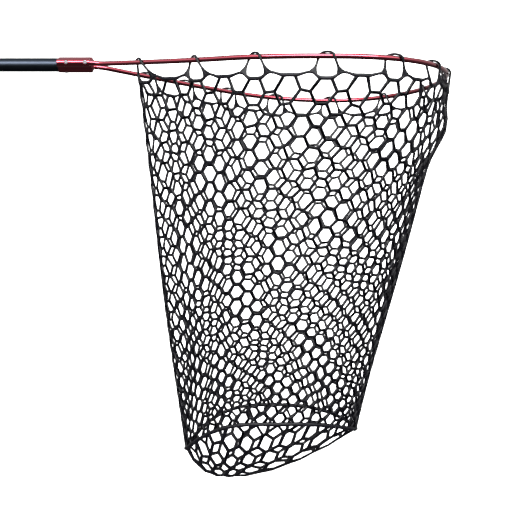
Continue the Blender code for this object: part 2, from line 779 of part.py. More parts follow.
def main():
    clear_scene()
    rear_tube()
    tube = front_tube()
    guide_bush()
    grip_sleeve()
    end_cap()
    hang_ring()
    lock_ferrule()
    lock_collet()
    lock_nut()
    block = yoke()
    barrel_plug()
    leg = hoop()
    leg_screws(block, leg)
    handle_rivet(block, tube)
    net_rim()
    net_wall()
    net_seam()
    net_bottom()


main()
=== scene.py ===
"""Looks of the landing net: smooth anodised frame, moulded rubber mesh bag and studio light."""

import math

import bmesh
import bpy
import numpy as np
from mathutils import Matrix, Vector


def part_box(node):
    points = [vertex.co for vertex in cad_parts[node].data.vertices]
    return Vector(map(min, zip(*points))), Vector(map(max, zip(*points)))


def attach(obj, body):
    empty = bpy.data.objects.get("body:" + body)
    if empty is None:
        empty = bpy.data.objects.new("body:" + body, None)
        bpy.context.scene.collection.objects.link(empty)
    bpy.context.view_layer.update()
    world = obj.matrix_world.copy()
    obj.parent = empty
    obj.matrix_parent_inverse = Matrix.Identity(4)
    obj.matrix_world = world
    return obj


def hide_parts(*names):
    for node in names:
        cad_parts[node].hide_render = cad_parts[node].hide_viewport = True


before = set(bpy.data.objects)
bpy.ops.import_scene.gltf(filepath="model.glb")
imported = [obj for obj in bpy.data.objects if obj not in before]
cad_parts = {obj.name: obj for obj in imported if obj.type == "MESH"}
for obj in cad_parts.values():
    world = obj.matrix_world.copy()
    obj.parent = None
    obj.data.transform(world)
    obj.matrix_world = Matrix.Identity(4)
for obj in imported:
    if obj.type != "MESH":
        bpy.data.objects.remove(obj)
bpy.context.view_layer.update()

MM = 0.001
TURN = 2 * math.pi


# The hoop's and the bag's dimensions, as in the CAD, and how finely they are drawn


YOKE_END = 350 * MM
LEG_Y = 20 * MM
LEG_REAR = YOKE_END - 52 * MM
LEG_STRAIGHT = 4 * MM
LEG_BEND_RADIUS = 28 * MM
SPLAY = math.radians(37)
WIDEST_X = YOKE_END + 386 * MM
HALF_WIDTH = 229 * MM
TIP_X = YOKE_END + 560 * MM
DROOP = 26 * MM
DROOP_QUARTER = 415 * MM
HOOP_RADIUS = 4 * MM
SPLAY_STEPS = 24
NOSE_STEPS = 48
HOOP_SIDES = 24
GAP = 0.3 * MM
THROAT_X = YOKE_END + 65 * MM
THROAT_SIDE_X = YOKE_END + 70 * MM
THROAT_CLEAR_X = THROAT_SIDE_X + 5 * MM
THROAT_INSET = 11 * MM
THROAT_STEPS = 12
FIRST_LOOP = 10 * MM
NEAR_GAPS = 6
NEAR_CROWDING = 0.1
FAR_GAPS = 7
FAR_SPACING_POWER = 1.12
SEAM_CENTRE_X = YOKE_END + 283 * MM
SEAM_HALF_LENGTH = 135.5 * MM
SEAM_HALF_WIDTH = 120 * MM
SEAM_Z = -558 * MM
SEAM_REAR_DIP = 54 * MM
SEAM_FRONT_DIP = 22 * MM
DIP_POWER = 3
SEAM_FINENESS = 720
BOWL_X = YOKE_END + 228 * MM
BOWL_Z = -657 * MM
BOWL_POWER = 1.65
BOWL_REAR_POWER = 1.9

# The bag's moulding: cells in columns round it and rows down it; places in it are in columns
# and rows where no unit is given
LOOPS = 2 + NEAR_GAPS + FAR_GAPS
LOOP_COLUMNS = 4
COLUMNS = LOOP_COLUMNS * LOOPS
ROWS = 20
THROAT_COLUMNS = 2
RIM_DROP = 31 * MM
RIM_RADIUS = 3 * MM
VALLEY_LIFT = 0.14
PEAK_ROW = -0.27
PEAK_PULL = 0.1
WEB_PULL = 0.2
PEAK_HALF = 0.12
PEAK_FOOT = 0.25
QUARTER_ROW = 0.25
CELL_RADIUS = 2 / 3
LEVEL_HALF = 0.285
ROW_CROWDING = 0.27
TOP_STRETCH = 0.009
STRETCH_RATE = 2.5
ROW_DRIFT, ROW_SHIFT = 0.14, 2.2
COLUMN_DRIFT, COLUMN_SHIFT = 0.12, 0.4
SETTLED_ROWS = 2

# Waves round the bag: turns, lean with the row or the depth, start, and size
DRIFT_WAVES = ((19, 2.1, 1), (-23, 1.3, 2), (11, -2.7, 3))
BAG_WAVES = ((7, 3, 0, 1), (11, 0, 1.3, 0.7))
WAVE_HEIGHT = 5 * MM
BAG_AXIS_X = SEAM_CENTRE_X + 60 * MM
TIP_BULGE = 15 * MM
BULGE_DEPTH = 0.1
BULGE_REACH = 0.07

# Strands and cords
TOP_STRAND = 3.7 * MM
LOW_STRAND = 3 * MM
STRAND_TAPER = 500 * MM
STRAND_BANDS = 12
MESH_THICKNESS = 3 * MM
HOLE_CORNER = 2 * MM
STRAND_EDGE = 0.8 * MM
RIM_STEPS = 12
RIM_THINNING = 0.33
CORD_SIDES = 10
LOOP_CORD = 1.9 * MM
LOOP_CREST = 11 * MM
LOOP_SIDES = 8
CREST_STEPS = 16
LEG_STEPS = 8
FOOT_SWELL = 0.25
FOOT_SWELL_RATE = 0.5
WEB_WIDTH = 14 * MM
WEB_HEIGHT = 13 * MM
WEB_THICKNESS = 3.2 * MM
WEB_NECK = 0.24
WEB_EDGE = 0.06
WEB_TOP_STEP = 6
SEAM_CORD = 3.2 * MM
SEAM_STEPS = 200
SEAM_LUMPS = 37
SEAM_LUMP = 0.1
BOTTOM_CELL = 18 * MM
BOTTOM_COLUMNS = 12
BOTTOM_ROW_PAIRS = 6
BOTTOM_MIDDLE = (5.7, 8.4)
BOTTOM_BORDER = 0.93
BOTTOM_STRAND = 4.6 * MM

# Distances within which points are joined
WELD = 0.01 * MM
CELL_WELD = 0.1 * MM
BORDER_WELD = 5 * MM

# Degrees up to which edges are shaded smooth
TURNED_SMOOTH = 30
MOULDED_SMOOTH = 35
WEB_SMOOTH = 50
CORD_SMOOTH = 60
STRAND_SMOOTH = 80

# Steps of a spin round the handle's axis
BODY_STEPS = 96
GRIP_STEPS = 72
SCREW_STEPS = 48


# Camera


CAMERA_LENS = 80.9
CAMERA_PLACE = (YOKE_END + 265.6 * MM, -1.869, -0.312)

camera_data = bpy.data.cameras.new("studio_camera")
camera_data.lens = CAMERA_LENS
camera = bpy.data.objects.new("studio_camera", camera_data)
camera.location = CAMERA_PLACE
camera.rotation_euler = (math.pi / 2, 0, 0)
bpy.context.scene.collection.objects.link(camera)
bpy.context.scene.camera = camera


# Modelling helpers


def mode(name):
    bpy.ops.object.mode_set(mode=name)


def deselect():
    if bpy.context.object and bpy.context.object.mode != "OBJECT":
        mode("OBJECT")
    bpy.ops.object.select_all(action="DESELECT")


def pick(*items):
    """Select these objects alone and make the first one active."""
    deselect()
    for item in items:
        item.select_set(True)
    bpy.context.view_layer.objects.active = items[0]


def smooth(item, degrees):
    """Shade a piece smooth, save across edges sharper than this."""
    pick(item)
    bpy.ops.object.shade_smooth_by_angle(angle=math.radians(degrees))


def applied(item, kind, **settings):
    """Add a modifier with its settings and apply it at once."""
    pick(item)
    step = item.modifiers.new(kind.lower(), kind)
    for key, value in settings.items():
        setattr(step, key, value)
    bpy.ops.object.modifier_apply(modifier=step.name)
    return item


def repeated(item, count, step):
    """Repeat a mesh at a fixed step."""
    return applied(item, "ARRAY", count=count, use_relative_offset=False,
                   use_constant_offset=True, constant_offset_displace=step)


def joined(name, items):
    pick(*items)
    bpy.ops.object.join()
    items[0].name = name
    return items[0]


def edited(item, operator, **settings):
    """Run one edit mode operator on the whole of a mesh."""
    pick(item)
    mode("EDIT")
    bpy.ops.mesh.select_all(action="SELECT")
    operator(**settings)
    mode("OBJECT")


def merged(item, distance):
    edited(item, bpy.ops.mesh.remove_doubles, threshold=distance)


def turned_outward(item):
    """Turn a closed mesh's faces the same way, and outward by the sign of its volume."""
    edited(item, bpy.ops.mesh.normals_make_consistent, inside=False)
    shape = bmesh.new()
    shape.from_mesh(item.data)
    if shape.calc_volume(signed=True) < 0:
        item.data.flip_normals()
    shape.free()


def corners(item):
    """A mesh's points as rows of x, y and z."""
    flat = np.empty(3 * len(item.data.vertices))
    item.data.vertices.foreach_get("co", flat)
    return flat.reshape(-1, 3)


def reshaped(item, points):
    item.data.vertices.foreach_set("co", points.ravel())
    item.data.update()


def copied(item, name, place):
    """A copy of a piece with its own mesh, moved by a matrix."""
    twin = item.copy()
    twin.data = item.data.copy()
    twin.data.transform(place)
    twin.name = name
    bpy.context.scene.collection.objects.link(twin)
    return twin


def drawn_tube(name, route, radius, sides, closed=False, swell=None):
    """Draw a route as a curve, give it a round section and turn it into a mesh."""
    deselect()
    bpy.ops.curve.primitive_nurbs_path_add(location=(0, 0, 0))
    item = bpy.context.object
    item.name = name
    curve = item.data
    curve.splines.clear()
    line = curve.splines.new("POLY")
    line.points.add(len(route) - 1)
    for index, place in enumerate(route):
        line.points[index].co = (*place, 1)
        line.points[index].radius = swell[index] if swell is not None else 1
    line.use_cyclic_u = closed
    curve.dimensions = "3D"
    curve.bevel_depth = radius
    curve.bevel_resolution = sides // 2 - 2
    curve.use_fill_caps = not closed
    pick(item)
    bpy.ops.object.convert(target="MESH")
    smooth(bpy.context.object, CORD_SMOOTH)
    return bpy.context.object


def rounded(outline, steps=4):
    """Round an outline's corners; each point is x, y and how far its curve reaches."""
    points = []
    for index, (x, y, reach) in enumerate(outline):
        here = Vector((x, y))
        if reach == 0:
            points.append(tuple(here))
            continue
        before = Vector(outline[index - 1][:2]) - here
        after = Vector(outline[(index + 1) % len(outline)][:2]) - here
        start = here + before.normalized() * reach
        end = here + after.normalized() * reach
        for step in range(steps + 1):
            part = step / steps
            points.append(tuple(start.lerp(here, part).lerp(here.lerp(end, part), part)))
    return points


def spun(name, profile, steps):
    """Spin a closed profile of (x, radius) points about the handle's axis."""
    deselect()
    bpy.ops.mesh.primitive_circle_add(vertices=len(profile), fill_type="NOTHING")
    item = bpy.context.object
    item.name = name
    for corner, (x, radius) in zip(item.data.vertices, profile):
        corner.co = (x, 0, radius)
    mode("EDIT")
    bpy.ops.mesh.select_all(action="SELECT")
    bpy.ops.mesh.spin(steps=steps, angle=TURN, center=(0, 0, 0), axis=(1, 0, 0))
    bpy.ops.mesh.select_all(action="SELECT")
    bpy.ops.mesh.remove_doubles(threshold=WELD)
    bpy.ops.mesh.delete_loose(use_verts=False, use_edges=True, use_faces=False)
    mode("OBJECT")
    turned_outward(item)
    smooth(item, TURNED_SMOOTH)
    return item


def extruded(name, outlines, depth, corner):
    """A section with holes, its first outline outside, given a depth about the XY plane."""
    deselect()
    bpy.ops.curve.primitive_nurbs_path_add(location=(0, 0, 0))
    curve = bpy.context.object.data
    curve.splines.clear()
    curve.dimensions = "2D"
    for points in outlines:
        line = curve.splines.new("POLY")
        line.points.add(len(points) - 1)
        line.use_cyclic_u = True
        for point, (x, y) in zip(line.points, points):
            point.co = (x, y, 0, 1)
    curve.fill_mode = "BOTH"
    curve.extrude = depth / 2 - corner
    curve.bevel_depth = corner
    curve.bevel_resolution = 1
    curve.offset = -corner
    pick(bpy.context.object)
    bpy.ops.object.convert(target="MESH")
    item = bpy.context.object
    item.name = name
    merged(item, WELD)
    turned_outward(item)
    return item


def drilled(item, drill):
    """Cut a piece with another, which is used up."""
    applied(item, "BOOLEAN", operation="DIFFERENCE", object=drill, solver="EXACT")
    bpy.data.objects.remove(drill)


def arc(centre, radius, start, end, steps):
    """Points of an arc about a point of the first axis, its angles from there to the second."""
    points = []
    for step in range(steps + 1):
        angle = start + (end - start) * step / steps
        points.append((centre + radius * math.cos(angle), radius * math.sin(angle)))
    return points


# Materials


def linear(code):
    """An sRGB hex colour as the linear value that a shader takes."""
    parts = [int(code[index:index + 2], 16) / 255 for index in (0, 2, 4)]
    return (*[part / 12.92 if part <= 0.04045 else ((part + 0.055) / 1.055) ** 2.4
              for part in parts], 1)


# Scales of patterns, with the size that each gives
DRAWING_LINES = (60, 2500, 2500)  # lines about 17 mm long and 0.4 mm apart
DYE_CLOUD = 90.0  # 11 mm
MOULD_CLOUD = 40.0  # 25 mm
FOAM_CELLS = 1 / MM  # 1 mm
FOAM_CLOUD = 300.0  # 3.3 mm
TOOL_MARKS = 1800.0  # 0.6 mm, coarser than real so that they show
PAPER_PULP = 300.0  # 3.3 mm

# Heights of relief
DRAWING_DEPTH = 0.02 * MM
FOAM_DEPTH = 0.3 * MM
TOOL_DEPTH = 0.05 * MM

OXIDE_IOR = 1.77
FOAM_IOR = 1.45

# Inputs whose name isn't the only one of its kind on the node, by number
NUMBERED = {"Mix": {"Factor": 0, "A": 6, "B": 7}, "Math": {"First": 0, "Second": 1, "Third": 2}}


def add(tree, kind, settings=None, **inputs):
    """Add a node; an input is a plain value, or a node with the name or number of its output."""
    node = tree.nodes.new("ShaderNode" + kind)
    for key, value in (settings or {}).items():
        setattr(node, key, value)
    for key, value in inputs.items():
        if kind in NUMBERED:
            socket = node.inputs[NUMBERED[kind][key]]
        else:
            socket = node.inputs[key.replace("_", " ")]
        if isinstance(value, tuple) and isinstance(value[0], bpy.types.Node):
            tree.links.new(value[0].outputs[value[1]], socket)
        else:
            socket.default_value = value
    return node


def blank(name):
    material = bpy.data.materials.new(name)
    material.use_nodes = True
    material.node_tree.nodes.clear()
    return material, material.node_tree


def anodised(name, dye, worn, roughness, coat):
    """Drawn aluminium, dyed under a thin clear oxide skin, with faint drawing lines along X."""
    material, tree = blank(name)
    place = add(tree, "TexCoord")
    lines = add(tree, "Mapping", Vector=(place, "Object"), Scale=DRAWING_LINES)
    draw = add(tree, "TexNoise", Vector=(lines, "Vector"), Scale=1.0, Detail=3.0)
    cloud = add(tree, "TexNoise", Vector=(place, "Object"), Scale=DYE_CLOUD, Detail=2.0)
    tint = add(tree, "Mix", {"data_type": "RGBA"}, Factor=(cloud, 0), A=linear(dye),
               B=linear(worn))
    spread = add(tree, "MapRange", Value=(draw, 0), To_Min=roughness - 0.03,
                 To_Max=roughness + 0.04)
    bump = add(tree, "Bump", Height=(draw, 0), Strength=0.06, Distance=DRAWING_DEPTH)
    shader = add(tree, "BsdfPrincipled", Base_Color=(tint, 2), Roughness=(spread, 0),
                 Normal=(bump, 0), Metallic=1.0, Coat_Weight=coat, Coat_Roughness=0.1,
                 Coat_IOR=OXIDE_IOR)
    add(tree, "OutputMaterial", Surface=(shader, 0))
    return material


def moulded(name, base, lift, roughness, grain_mm, depth_mm, ior=1.5):
    """Moulded rubber or nylon: a fine spark-eroded grain dulls its shine."""
    material, tree = blank(name)
    place = add(tree, "TexCoord")
    grain = add(tree, "TexNoise", Vector=(place, "Object"), Scale=1 / (grain_mm * MM), Detail=4.0)
    cloud = add(tree, "TexNoise", Vector=(place, "Object"), Scale=MOULD_CLOUD, Detail=2.0)
    tint = add(tree, "Mix", {"data_type": "RGBA"}, Factor=(cloud, 0), A=linear(base),
               B=linear(lift))
    spread = add(tree, "MapRange", Value=(grain, 0), To_Min=roughness - 0.06,
                 To_Max=roughness + 0.1)
    bump = add(tree, "Bump", Height=(grain, 0), Strength=0.35, Distance=depth_mm * MM)
    shader = add(tree, "BsdfPrincipled", Base_Color=(tint, 2), Roughness=(spread, 0),
                 Normal=(bump, 0), IOR=ior)
    add(tree, "OutputMaterial", Surface=(shader, 0))
    return material


def closed_cell_foam():
    """Ground EVA foam: matt charcoal with cut cells about a millimetre across."""
    material, tree = blank("ground_eva_foam")
    place = add(tree, "TexCoord")
    cells = add(tree, "TexVoronoi", Vector=(place, "Object"), Scale=FOAM_CELLS)
    patch = add(tree, "TexNoise", Vector=(place, "Object"), Scale=FOAM_CLOUD, Detail=3.0)
    tint = add(tree, "Mix", {"data_type": "RGBA"}, Factor=(patch, 0), A=linear("0F0F11"),
               B=linear("1C1C1F"))
    bump = add(tree, "Bump", Height=(cells, "Distance"), Strength=0.5, Distance=FOAM_DEPTH)
    shader = add(tree, "BsdfPrincipled", Base_Color=(tint, 2), Roughness=0.88,
                 Normal=(bump, 0), IOR=FOAM_IOR)
    add(tree, "OutputMaterial", Surface=(shader, 0))
    return material


def machined_steel(name, pale, dark, roughness):
    """Turned stainless steel: fine tool marks and a slightly oxidised tone."""
    material, tree = blank(name)
    place = add(tree, "TexCoord")
    tool = add(tree, "TexNoise", Vector=(place, "Object"), Scale=TOOL_MARKS, Detail=3.0)
    tint = add(tree, "Mix", {"data_type": "RGBA"}, Factor=(tool, 0), A=linear(dark),
               B=linear(pale))
    bump = add(tree, "Bump", Height=(tool, 0), Strength=0.2, Distance=TOOL_DEPTH)
    shader = add(tree, "BsdfPrincipled", Base_Color=(tint, 2), Roughness=roughness,
                 Metallic=1.0, Normal=(bump, 0))
    add(tree, "OutputMaterial", Surface=(shader, 0))
    return material


# Bright red anodising on a polished extrusion: a tight pale highlight over a deep red
RED_ALUMINIUM = anodised("red_anodised_aluminium", "AE1C38", "BC2745", roughness=0.17, coat=1.0)
# Matt black anodising: a broad blue-grey highlight along the tube
BLACK_ALUMINIUM = anodised("black_anodised_aluminium", "30353E", "3B414B", roughness=0.36,
                           coat=0.0)
# Soft black rubber: near black, with a weak grey sheen
NET_RUBBER = moulded("moulded_net_rubber", "040407", "0A0A11", roughness=0.42, grain_mm=0.25,
                     depth_mm=0.04, ior=1.34)
# Glass-filled black nylon: satin, with a grain that can be felt
BLACK_NYLON = moulded("textured_black_nylon", "0B0B0D", "121214", roughness=0.5, grain_mm=0.35,
                      depth_mm=0.05)
# Undyed nylon: ivory and satin
WHITE_NYLON = moulded("natural_white_nylon", "D6D5CD", "E2E1DA", roughness=0.45, grain_mm=0.4,
                      depth_mm=0.03)
FOAM = closed_cell_foam()
# Stainless screws and wire: a grey shine, darker on the screws
SCREW_STEEL = machined_steel("stainless_screw_steel", "9A9A9E", "707075", roughness=0.28)
RING_STEEL = machined_steel("stainless_ring_wire", "C6C7C9", "A5A6A9", roughness=0.22)


def finished(item, material, body, node):
    """Give a piece its finish, fix it to its body and let it stand for a CAD node."""
    item.data.materials.clear()
    item.data.materials.append(material)
    for face in item.data.polygons:
        face.material_index = 0
    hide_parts(node)
    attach(item, body)


def rubber_part(item, node):
    finished(item, NET_RUBBER, "net_head", node)


# Hoop


def droop(x):
    """Height of the hoop's centreline ahead of the yoke."""
    return -DROOP * math.sin(math.pi / 2 * max(0, x - YOKE_END) / DROOP_QUARTER)


def side_outline():
    """Plan of one side of the hoop from its bend at the yoke to the tip, with y positive."""
    points = []
    for step in range(SPLAY_STEPS + 1):
        angle = SPLAY * step / SPLAY_STEPS
        points.append((YOKE_END + LEG_STRAIGHT + LEG_BEND_RADIUS * math.sin(angle),
                       LEG_Y + LEG_BEND_RADIUS * (1 - math.cos(angle))))
    end_x, end_y = points[-1]
    rise = math.tan(SPLAY) * (WIDEST_X - end_x) - (HALF_WIDTH - end_y)
    shoulder = rise / (1 / math.cos(SPLAY) - 1)
    start_x = WIDEST_X - shoulder * math.sin(SPLAY)
    start_y = HALF_WIDTH - shoulder * (1 - math.cos(SPLAY))
    for step in range(1, SPLAY_STEPS):
        part = step / SPLAY_STEPS
        points.append((end_x + (start_x - end_x) * part, end_y + (start_y - end_y) * part))
    for step in range(SPLAY_STEPS + 1):
        angle = SPLAY * (1 - step / SPLAY_STEPS)
        points.append((WIDEST_X - shoulder * math.sin(angle),
                       HALF_WIDTH - shoulder * (1 - math.cos(angle))))
    for step in range(1, NOSE_STEPS + 1):
        angle = math.pi / 2 * step / NOSE_STEPS
        points.append((WIDEST_X + (TIP_X - WIDEST_X) * math.sin(angle),
                       HALF_WIDTH * math.cos(angle)))
    points[-1] = (TIP_X, 0)
    return points


SIDE = side_outline()


def hoop_tube():
    """The bent hoop, drawn finely, with both ends inside the yoke."""
    straight = [(LEG_REAR, LEG_Y), (YOKE_END - 2 * LEG_STRAIGHT, LEG_Y), (YOKE_END, LEG_Y)]
    far = [(x, y, droop(x)) for x, y in straight + SIDE]
    near = [(x, -y, z) for x, y, z in far]
    tube = drawn_tube("hoop_tube", near + far[-2::-1], HOOP_RADIUS, HOOP_SIDES)
    finished(tube, RED_ALUMINIUM, "net_head", "hoop")


# The bag's surface


def closed_run(points):
    """A closed line's points, back to the first, and the distance along it at each."""
    loop = np.vstack([points, points[:1]])
    steps = np.linalg.norm(np.diff(loop, axis=0), axis=1)
    return loop, np.concatenate([[0], np.cumsum(steps)])


def sampled(line, distance):
    """Points of a closed line at distances along it."""
    points, run = line
    distance = np.mod(distance, run[-1])
    return np.stack([np.interp(distance, run, points[:, axis]) for axis in range(3)], axis=-1)


def mouth_outline():
    """The hoop's line over the bag's mouth, closed across the throat, from the throat's middle."""
    side = [point for point in SIDE if point[0] > THROAT_CLEAR_X]
    leg_x, leg_y = SIDE[SPLAY_STEPS]
    throat_y = leg_y + math.tan(SPLAY) * (THROAT_SIDE_X - leg_x)
    across = []
    for step in range(THROAT_STEPS + 1):
        part = math.sin(math.pi / 2 * step / THROAT_STEPS)
        across.append((THROAT_X + (THROAT_SIDE_X - THROAT_X) * part ** 3, throat_y * part))
    half = across + side
    near = [(x, -y, droop(x)) for x, y in half]
    far = [(x, y, droop(x)) for x, y in half[-2:0:-1]]
    return closed_run(np.array(near + far))


def seam_outline():
    """The seam's line: an oval that dips at its rear and, less, at its front."""
    angle = np.linspace(0, TURN, SEAM_FINENESS, endpoint=False)
    rearward = np.maximum(0, np.cos(angle)) ** DIP_POWER
    forward = np.maximum(0, -np.cos(angle)) ** DIP_POWER
    return closed_run(np.stack([
        SEAM_CENTRE_X - SEAM_HALF_LENGTH * np.cos(angle), -SEAM_HALF_WIDTH * np.sin(angle),
        SEAM_Z - SEAM_REAR_DIP * rearward - SEAM_FRONT_DIP * forward], axis=-1))


MOUTH = mouth_outline()
MOUTH_LENGTH = MOUTH[1][-1]
SEAM = seam_outline()
SEAM_LENGTH = SEAM[1][-1]


def loop_stations():
    """Distances along the mouth of the loops that carry the net on the hoop."""
    start = MOUTH[1][THROAT_STEPS] + FIRST_LOOP
    side = MOUTH_LENGTH / 2 - start
    near = []
    for step in range(NEAR_GAPS + 1):
        part = step / NEAR_GAPS
        near.append(start + side * (part - NEAR_CROWDING * part ** 3))
    far = [MOUTH_LENGTH - start - side * (step / FAR_GAPS) ** FAR_SPACING_POWER
           for step in range(FAR_GAPS + 1)]
    return near + far[::-1]


STATIONS = loop_stations()


def station_at(column):
    """Distance along the mouth at a column; each loop has its own columns."""
    marks = [STATIONS[-1] - MOUTH_LENGTH] + STATIONS + [STATIONS[0] + MOUTH_LENGTH]
    turns = np.floor(column / COLUMNS)
    within = column - turns * COLUMNS
    loops = LOOP_COLUMNS * np.arange(-1, LOOPS + 1)
    return np.interp(within, loops, marks) + turns * MOUTH_LENGTH


def around(column):
    """Angle of a column round the bag, from the middle of the throat."""
    return TURN * (column + THROAT_COLUMNS) / COLUMNS


def depth_of(row):
    """Share of the way from the rim to the seam at a row; rows crowd towards the seam."""
    part = row / ROWS
    stretch = TOP_STRETCH * (1 - np.exp(-STRETCH_RATE * np.maximum(row, 0))) * (1 - part)
    return part * (1 + ROW_CROWDING) - ROW_CROWDING * part ** 2 + stretch


def drift(column, row, shift):
    """Smooth unevenness of a net that has been handled, between -1 and 1."""
    angle = TURN * column / COLUMNS
    waves = [np.sin(turns * angle + lean * row + start * shift)
             for turns, lean, start in DRIFT_WAVES]
    return sum(waves) / len(waves)


def bag_point(column, row):
    """Points of the bag's side at columns and rows."""
    inside = np.clip(row, 0, 1) * np.clip((ROWS - row) / SETTLED_ROWS, 0, 1)
    level = row + ROW_DRIFT * inside * drift(column, row, ROW_SHIFT)
    column = column + COLUMN_DRIFT * inside * drift(column, row, COLUMN_SHIFT)
    depth = depth_of(level)
    top = sampled(MOUTH, station_at(column))
    top[..., 2] -= RIM_DROP
    angle = around(column)
    top[..., 0] += THROAT_INSET * np.maximum(0, np.cos(angle)) ** 4
    low = sampled(SEAM, (column + THROAT_COLUMNS) / COLUMNS * SEAM_LENGTH)
    place = top + (low - top) * depth[..., None]
    slack = np.sin(math.pi * np.clip(depth, 0, 1)) * np.clip(depth, 0, 1)
    wave = sum(size * np.sin(turns * angle + lean * depth + start)
               for turns, lean, start, size in BAG_WAVES)
    tip = np.maximum(0, -np.cos(angle)) ** 6
    bulge = TIP_BULGE * tip * np.exp(-((depth - BULGE_DEPTH) / BULGE_REACH) ** 2)
    outward = place - np.array([BAG_AXIS_X, 0, 0])
    outward[..., 2] = 0
    outward /= np.linalg.norm(outward, axis=-1, keepdims=True)
    return place + outward * (WAVE_HEIGHT * slack * wave + bulge)[..., None]


# Moulded mesh


def cell(name, radius, flat_top):
    """One six-sided cell, level at the top or pointed there."""
    deselect()
    bpy.ops.mesh.primitive_circle_add(vertices=6, radius=radius, fill_type="NGON",
                                      location=(0, 0, 0),
                                      rotation=(0, 0, math.pi / 2 if flat_top else 0))
    bpy.ops.object.transform_apply(location=True, rotation=True, scale=True)
    bpy.context.object.name = name
    return bpy.context.object


def select_edges(item, wall_faces):
    """Select the edges between this many wall faces and let the rest go."""
    bpy.ops.mesh.select_all(action="DESELECT")
    bpy.ops.mesh.select_mode(type="EDGE")
    edit = bmesh.from_edit_mesh(item.data)
    for edge in edit.edges:
        if sum(face.material_index for face in edge.link_faces) == wall_faces:
            edge.select_set(True)
    bmesh.update_edit_mesh(item.data)


def strands_from_cells(item, width_at, bands):
    """Turn a sheet of cells into strands: inset each cell by half a strand, open it, give the
    sheet its thickness, and cut off the holes' corners and then the strands' edges.

    The width is taken in bands of height. Cells have over four sides, the strips left round
    an inset have four.
    """
    pick(item)
    mode("EDIT")
    bpy.ops.mesh.select_mode(type="FACE")
    heights = [face.center.z for face in item.data.polygons]
    low, high = min(heights), max(heights) + MM
    for band in range(bands):
        start = low + (high - low) * band / bands
        end = low + (high - low) * (band + 1) / bands
        bpy.ops.mesh.select_all(action="DESELECT")
        edit = bmesh.from_edit_mesh(item.data)
        for face in edit.faces:
            if len(face.verts) > 4 and start <= face.calc_center_median().z < end:
                face.select_set(True)
        bmesh.update_edit_mesh(item.data)
        bpy.ops.mesh.inset(use_individual=True, thickness=width_at((start + end) / 2) / 2)
        bpy.ops.mesh.delete(type="ONLY_FACE")
    mode("OBJECT")
    # The sheet's faces take the first of two slots, and its walls the second
    item.data.materials.append(None)
    item.data.materials.append(None)
    applied(item, "SOLIDIFY", thickness=MESH_THICKNESS, offset=0, use_even_offset=True,
            material_offset_rim=1)
    pick(item)
    mode("EDIT")
    select_edges(item, 2)
    bpy.ops.mesh.bevel(offset=HOLE_CORNER, segments=1, affect="EDGES")
    select_edges(item, 1)
    bpy.ops.mesh.bevel(offset=STRAND_EDGE, segments=1, affect="EDGES")
    mode("OBJECT")
    turned_outward(item)
    smooth(item, STRAND_SMOOTH)


def slope(column):
    """From 0 in a valley of the rim to 1 on its peak, at every odd column."""
    beside = np.abs(np.mod(column + 1, 2) - 1)
    climb = np.clip((beside - PEAK_FOOT) / (1 - PEAK_FOOT), 0, 1)
    return (1 - np.cos(math.pi * climb)) / 2


def valley_row(column):
    """Height of the rim's valleys in rows: every second one is lifted."""
    return -VALLEY_LIFT * (1 - np.cos(math.pi * column / 2)) / 2


def rim_row(column):
    """Height of the rim cord in rows."""
    valley = valley_row(column)
    return valley + (PEAK_ROW - valley) * slope(column)


def pulled(column):
    """Shift of the rim's peaks towards the loop that lifts them."""
    return -PEAK_PULL * np.sin(math.pi * column / 2) * slope(column)


def bag_mesh():
    """The bag's side: a flat sheet of cells in columns and rows, wrapped round the bag."""
    loop_cell = cell("bag_mesh", CELL_RADIUS, True)
    loop_cell.data.transform(Matrix.Diagonal((1, math.sqrt(3) / 2, 1, 1)))
    shape = corners(loop_cell)
    level = np.abs(shape[:, 1]) > QUARTER_ROW
    shape[:, 0] = np.sign(shape[:, 0]) * np.where(level, LEVEL_HALF, 1 - LEVEL_HALF)
    reshaped(loop_cell, shape)
    web_cell = copied(loop_cell, "web_cell", Matrix.Translation((1, 0, 0)))
    loop_cell.data.transform(Matrix.Translation((0, 0.5, 0)))
    repeated(loop_cell, ROWS, (0, 1, 0))
    repeated(web_cell, ROWS + 1, (0, 1, 0))
    sheet = repeated(joined("bag_mesh", [loop_cell, web_cell]), COLUMNS // 2, (2, 0, 0))
    flat = corners(sheet)
    column, row = flat[:, 0].copy(), flat[:, 1].copy()
    peak = row < -QUARTER_ROW
    middle = 2 * np.round((column - 1) / 2) + 1
    column[peak] = middle[peak] + PEAK_HALF * np.sign(column - middle)[peak]
    row[peak] = 0
    row = np.minimum(row, ROWS)
    lowered = row + valley_row(column) * np.clip(1 - row, 0, 1)
    row = np.where(row < QUARTER_ROW, rim_row(column), lowered)
    column = column + np.where(row < QUARTER_ROW, pulled(column), 0)
    reshaped(sheet, bag_point(column, row))
    merged(sheet, CELL_WELD)

    def width(z):
        part = max(0, min(1, (z - SEAM_Z) / STRAND_TAPER))
        return LOW_STRAND + (TOP_STRAND - LOW_STRAND) * part

    strands_from_cells(sheet, width, STRAND_BANDS)
    rubber_part(sheet, "net_wall")


def bottom_point(across, along):
    """Points of the sagging bottom from a round plan of radius 1."""
    out = np.hypot(across, along)
    rearward = -across / np.maximum(out, 1e-6)
    edge_z = (SEAM_Z - SEAM_REAR_DIP * np.maximum(0, rearward) ** DIP_POWER
              - SEAM_FRONT_DIP * np.maximum(0, -rearward) ** DIP_POWER)
    power = BOWL_POWER + BOWL_REAR_POWER * np.maximum(0, rearward) ** 2
    return np.stack([BOWL_X + (SEAM_CENTRE_X - BOWL_X) * out + SEAM_HALF_LENGTH * across,
                     SEAM_HALF_WIDTH * along,
                     BOWL_Z + (edge_z - BOWL_Z) * out ** power], axis=-1)


